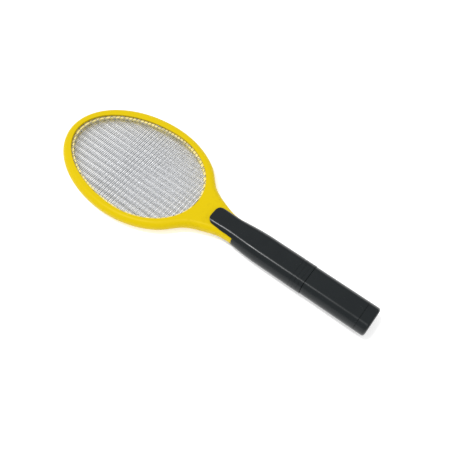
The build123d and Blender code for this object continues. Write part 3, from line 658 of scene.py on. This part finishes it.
class SWATTER_OT_weave_grids(bpy.types.Operator):
    """Make the three welded wire grids in place of the plain lattices"""

    bl_idname = "swatter.weave_grids"
    bl_label = "Weave Grids"

    def execute(self, context):
        settings = context.scene.swatter_grid
        outer = drawn_wire("grid_wire_outer", context.scene.swatter_colours.wire)
        # The live grid takes the same wire colour painted 10% darker: painted shade for the middle layer,
        # which lies between the two outer grids.
        live = drawn_wire("grid_wire_live", shade(context.scene.swatter_colours.wire, 0.9), 0.32)
        weave("outer_grid_top_wires", "outer_grid_top", 0.0, -TAB_X, settings, outer)
        weave("live_grid_wires", "live_grid", 0.1, 0.0, settings, live)
        weave("outer_grid_bottom_wires", "outer_grid_bottom", 0.2, TAB_X, settings, outer)
        return {"FINISHED"}


# ---------------------------------------------------------------- contact springs
def spring_tree(name, material):
    """Conical spring of round wire with closed ends, wound along Y from its wide end."""
    sizes = ["Turns", "Wire", "Wide", "Narrow", "Reach"]
    inputs = {label: "NodeSocketFloat" for label in sizes}
    inputs["Place"] = "NodeSocketVector"
    inputs["Turned"] = "NodeSocketVector"
    g, given = new_tree(name, inputs)
    coil = g.value("GeometryNodeCurveSpiral", inputs={
        "Resolution": 28, "Rotations": given["Turns"], "Start Radius": given["Wide"],
        "End Radius": given["Narrow"], "Height": given["Reach"]})
    stood = g.value("GeometryNodeTransform", inputs={
        "Geometry": coil, "Translation": given["Place"], "Rotation": given["Turned"]})
    section = g.node("GeometryNodeCurvePrimitiveCircle", {"mode": "RADIUS"},
                     {"Resolution": WIRE_SIDES, "Radius": given["Wire"] / 2})
    wire = g.value("GeometryNodeCurveToMesh", inputs={
        "Curve": stood, "Profile Curve": Value(g, section.outputs[0]), "Fill Caps": True})
    smooth = g.value("GeometryNodeSetShadeSmooth", inputs={0: wire})
    return close_tree(g, smooth, material)


class SWATTER_OT_wind_springs(bpy.types.Operator):
    """Wind the springs that press both cells against their contacts"""

    bl_idname = "swatter.wind_springs"
    bl_label = "Wind Springs"

    def execute(self, context):
        settings = context.scene.swatter_springs
        low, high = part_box("battery_springs")
        nickel = plated_steel("spring_nickel", (0.68, 0.65, 0.58), 0.20, (60.0, 900.0, 900.0))
        tree = spring_tree("coil", nickel)
        coils = []
        for cell, forward in (("battery_left", True), ("battery_right", False)):
            cell_low, cell_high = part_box(cell)
            middle = (cell_low + cell_high) / 2
            start = low.y if forward else high.y
            end = cell_low.y if forward else cell_high.y
            way = 1 if forward else -1
            values = {"Turns": settings.turns, "Wire": settings.wire, "Wide": settings.wide / 2,
                      "Narrow": settings.narrow / 2, "Reach": abs(end - start) - settings.wire,
                      "Place": (middle.x, start + way * settings.wire / 2, middle.z),
                      "Turned": (-way * QUARTER_TURN, 0.0, 0.0)}
            coils.append(grow(f"{cell}_spring", tree, values))
        piece = join("contact_springs", coils)
        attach(piece, "root")
        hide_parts("battery_springs")
        return {"FINISHED"}


# ---------------------------------------------------------------- finishes of the CAD nodes
class SWATTER_OT_dress_frame(bpy.types.Operator):
    """Finish the head frame and the rings that space the grids"""

    bl_idname = "swatter.dress_frame"
    bl_label = "Dress Head Frame"

    def execute(self, context):
        colours = context.scene.swatter_colours
        paint(["head_frame_top", "head_frame_bottom"], frame_plastic("frame_yellow", colours.frame, SEAM_Z))
        paint(["grid_spacer_top", "grid_spacer_bottom"],
              moulded_plastic("spacer_pale", colours.spacer, 0.5, grain=0.8, mottle=0.05, handling=0.2,
                              shine=0.8))
        return {"FINISHED"}


class SWATTER_OT_dress_grip(bpy.types.Operator):
    """Finish the handle shells, the battery sleeve, its end cap and the push button"""

    bl_idname = "swatter.dress_grip"
    bl_label = "Dress Handle"

    def execute(self, context):
        colours = context.scene.swatter_colours
        gripped = {"gloss": 0.27, "mottle": 0.10, "handling": 0.8, "dust": 0.2, "shine": 0.3}
        paint(["handle_shell_top", "handle_shell_bottom"],
              moulded_plastic("grip_black", colours.grip, seam_z=SEAM_Z, **gripped))
        paint(["battery_sleeve", "end_cap"], moulded_plastic("sleeve_black", colours.grip, **gripped))
        paint(["power_button"], moulded_plastic("button_red", colours.button, 0.40, grain=0.6))
        return {"FINISHED"}


class SWATTER_OT_dress_fasteners(bpy.types.Operator):
    """Finish every screw"""

    bl_idname = "swatter.dress_fasteners"
    bl_label = "Dress Screws"

    def execute(self, context):
        steel = plated_steel("screw_plating", (0.52, 0.52, 0.50), 0.30, (300.0, 300.0, 2500.0))
        paint(["frame_screws", "handle_screws", "board_screws"], steel)
        return {"FINISHED"}


class SWATTER_OT_dress_cells(bpy.types.Operator):
    """Finish the battery tray, its contacts and both cells"""

    bl_idname = "swatter.dress_cells"
    bl_label = "Dress Battery Tray"

    def execute(self, context):
        tray = moulded_plastic("tray_black", (0.02, 0.02, 0.022), 0.48, grain=0.7, depth=0.03, mottle=0.10,
                               handling=0.6)
        paint(["battery_tray"], tray)
        paint(["rear_link_contact", "front_positive_contact", "front_negative_contact"],
              plated_steel("contact_nickel", (0.66, 0.63, 0.57), 0.22, (900.0, 60.0, 900.0)))
        for name, flip in (("battery_left", False), ("battery_right", True)):
            low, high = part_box(name)
            paint([name], wrapped_can(name + "_wrap", high.y, low.y, flip))
        return {"FINISHED"}


class SWATTER_OT_dress_board(bpy.types.Operator):
    """Finish the circuit board and everything on it"""

    bl_idname = "swatter.dress_board"
    bl_label = "Dress Circuit Board"

    def execute(self, context):
        low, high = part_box("circuit_board")
        leg_top = high.z + 0.25 * MM
        paint(["circuit_board"], board_laminate("board_green", (0.012, 0.085, 0.030), (0.66, 0.64, 0.58),
                                                (low + high) / 2))
        paint(["transformer_core"], sintered_ferrite("core_ferrite", (0.05, 0.05, 0.055)))
        paint(["transformer_bobbin"], dipped_body("bobbin_black", (0.025, 0.025, 0.027), high.z + 0.1 * MM))
        paint(["transformer_winding"], wound_tape("winding_tape", (0.72, 0.55, 0.08)))
        paint(["storage_capacitor"], dipped_body("capacitor_red", (0.36, 0.045, 0.02), leg_top))
        paint(["multiplier_capacitors"], dipped_body("capacitor_brown", (0.20, 0.07, 0.025), leg_top))
        paint(["rectifier_diodes"], dipped_body("diode_black", (0.02, 0.02, 0.02), high.z + 0.12 * MM))
        paint(["oscillator_transistor"], dipped_body("transistor_black", (0.018, 0.018, 0.02),
                                                     high.z + 1.95 * MM))
        left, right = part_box("resistors")
        paint(["resistors"], banded_resistor("resistor_bands", (left.x + right.x) / 2))
        paint(["push_switch_body"], moulded_plastic("switch_case", (0.03, 0.03, 0.03), 0.45, grain=0.4))
        paint(["push_switch_plunger"], moulded_plastic("switch_nylon", (0.66, 0.65, 0.60), 0.45, grain=0.4))
        paint(["indicator_led"], tinted_lens("indicator_lens", (0.62, 0.04, 0.03)))
        return {"FINISHED"}


class SWATTER_OT_dress_leads(bpy.types.Operator):
    """Finish the insulated leads"""

    bl_idname = "swatter.dress_leads"
    bl_label = "Dress Leads"

    def execute(self, context):
        paint(["live_lead", "battery_lead_positive"], soft_insulation("lead_red", (0.42, 0.02, 0.015)))
        paint(["ground_lead_top", "ground_lead_bottom", "battery_lead_negative"],
              soft_insulation("lead_black", (0.02, 0.02, 0.02)))
        return {"FINISHED"}


# ---------------------------------------------------------------- stage
RESTING = ("handle_shell_bottom", "head_frame_bottom")
FLOOR_HALF = 8.0                # metres
FLAT_HEIGHT = 0.02 * MM         # lower than this counts as the grip's flat
TIP_START = 5 * MM              # the head is further than this in front of the flat's end
FLOOR_DROP = 0.05 * MM          # floor's gap below the swatter
VIEW_TARGET = Vector((-0.62, -24.31, 13.0)) * MM
SENSOR_WIDTH = 36.0             # millimetres
KEY_FROM = (-0.30, -0.25, 0.92)
KEY_SPREAD = 28                 # degrees
RIM_FROM = (-0.12, 0.31, 0.945)
RIM_SPREAD = 10                 # degrees


def soft_sun(name, direction, strength, spread):
    """Distant light from a direction, with its spread in degrees."""
    data = bpy.data.lights.new(name, "SUN")
    data.energy = strength
    data.angle = math.radians(spread)
    light = bpy.data.objects.new(name, data)
    light.rotation_euler = Vector(direction).to_track_quat("Z", "Y").to_euler()
    bpy.context.scene.collection.objects.link(light)


class SWATTER_OT_set_stage(bpy.types.Operator):
    """Lay the floor and set the lights and the camera"""

    bl_idname = "swatter.set_stage"
    bl_label = "Set Stage"

    def execute(self, context):
        stage = context.scene.swatter_stage
        self.lay_floor(stage)
        self.set_lights(context.scene, stage)
        self.set_camera(context.scene, stage)
        return {"FINISHED"}

    def lay_floor(self, stage):
        """A wide floor under the swatter, which rests on the grip's flat end and the tip of its head."""
        corners = [v.co for name in RESTING for v in NODES[name].data.vertices]
        pivot = max(co.y for co in corners if co.z < FLAT_HEIGHT)
        slope = min(co.z / (co.y - pivot) for co in corners if co.y > pivot + TIP_START)
        half = FLOOR_HALF
        sheet = [(-half, -half, 0), (half, -half, 0), (half, half, 0), (-half, half, 0)]
        mesh = bpy.data.meshes.new("floor")
        mesh.from_pydata(sheet, [], [(0, 1, 2, 3)])
        tilt = Matrix.Rotation(math.atan(slope), 4, "X")
        mesh.transform(Matrix.Translation((0, pivot, -FLOOR_DROP)) @ tilt)
        mesh.materials.append(floor_paint("floor_paint", stage.floor, stage.glow))
        floor = bpy.data.objects.new("floor", mesh)
        bpy.context.scene.collection.objects.link(floor)

    def set_lights(self, scene, stage):
        """A wide main light, a narrower one that edges the grip, and white light from all round."""
        soft_sun("key", KEY_FROM, stage.key, KEY_SPREAD)
        soft_sun("rim", RIM_FROM, stage.rim, RIM_SPREAD)
        world = bpy.data.worlds.new("studio")
        world.use_nodes = True
        background = world.node_tree.nodes["Background"]
        background.inputs["Color"].default_value = (1.0, 1.0, 1.0, 1.0)
        background.inputs["Strength"].default_value = stage.sky
        scene.world = world
        scene.view_settings.view_transform = "Standard"

    def set_camera(self, scene, stage):
        """The camera looks at the middle of the swatter, turned by the stage's angles."""
        back = Vector((math.sin(stage.azimuth) * math.cos(stage.elevation),
                       -math.cos(stage.azimuth) * math.cos(stage.elevation), math.sin(stage.elevation)))
        data = bpy.data.cameras.new("camera")
        data.lens = stage.lens
        data.sensor_width = SENSOR_WIDTH
        data.clip_start, data.clip_end = 0.01, 50.0
        camera = bpy.data.objects.new("camera", data)
        camera.location = VIEW_TARGET + back * stage.distance
        level = (-back).to_track_quat("-Z", "Y")
        camera.rotation_euler = (level @ Quaternion((0, 0, 1), stage.roll)).to_euler()
        scene.collection.objects.link(camera)
        scene.camera = camera


OPERATORS = (SWATTER_OT_dress_frame, SWATTER_OT_dress_grip, SWATTER_OT_weave_grids,
             SWATTER_OT_dress_fasteners, SWATTER_OT_dress_cells, SWATTER_OT_wind_springs,
             SWATTER_OT_dress_board, SWATTER_OT_dress_leads, SWATTER_OT_set_stage)


class SWATTER_PT_panel(bpy.types.Panel):
    """Lists the swatter's settings and makers in the 3D view's sidebar"""

    bl_idname = "SWATTER_PT_panel"
    bl_label = "Fly Swatter"
    bl_space_type = "VIEW_3D"
    bl_region_type = "UI"
    bl_category = "Swatter"

    def draw(self, context):
        for group, kind in SETTINGS.items():
            box = self.layout.box()
            for name in kind.__annotations__:
                box.prop(getattr(context.scene, group), name)
        for operator in OPERATORS:
            self.layout.operator(operator.bl_idname)


def register():
    for kind in (*SETTINGS.values(), *OPERATORS, SWATTER_PT_panel):
        bpy.utils.register_class(kind)
    for name, kind in SETTINGS.items():
        setattr(bpy.types.Scene, name, bpy.props.PointerProperty(type=kind))


def unregister():
    for name in SETTINGS:
        delattr(bpy.types.Scene, name)
    for kind in reversed((*SETTINGS.values(), *OPERATORS, SWATTER_PT_panel)):
        bpy.utils.unregister_class(kind)


def main():
    register()
    for operator in OPERATORS:
        group, name = operator.bl_idname.split(".")
        getattr(getattr(bpy.ops, group), name)()


if __name__ == "__main__":
    main()
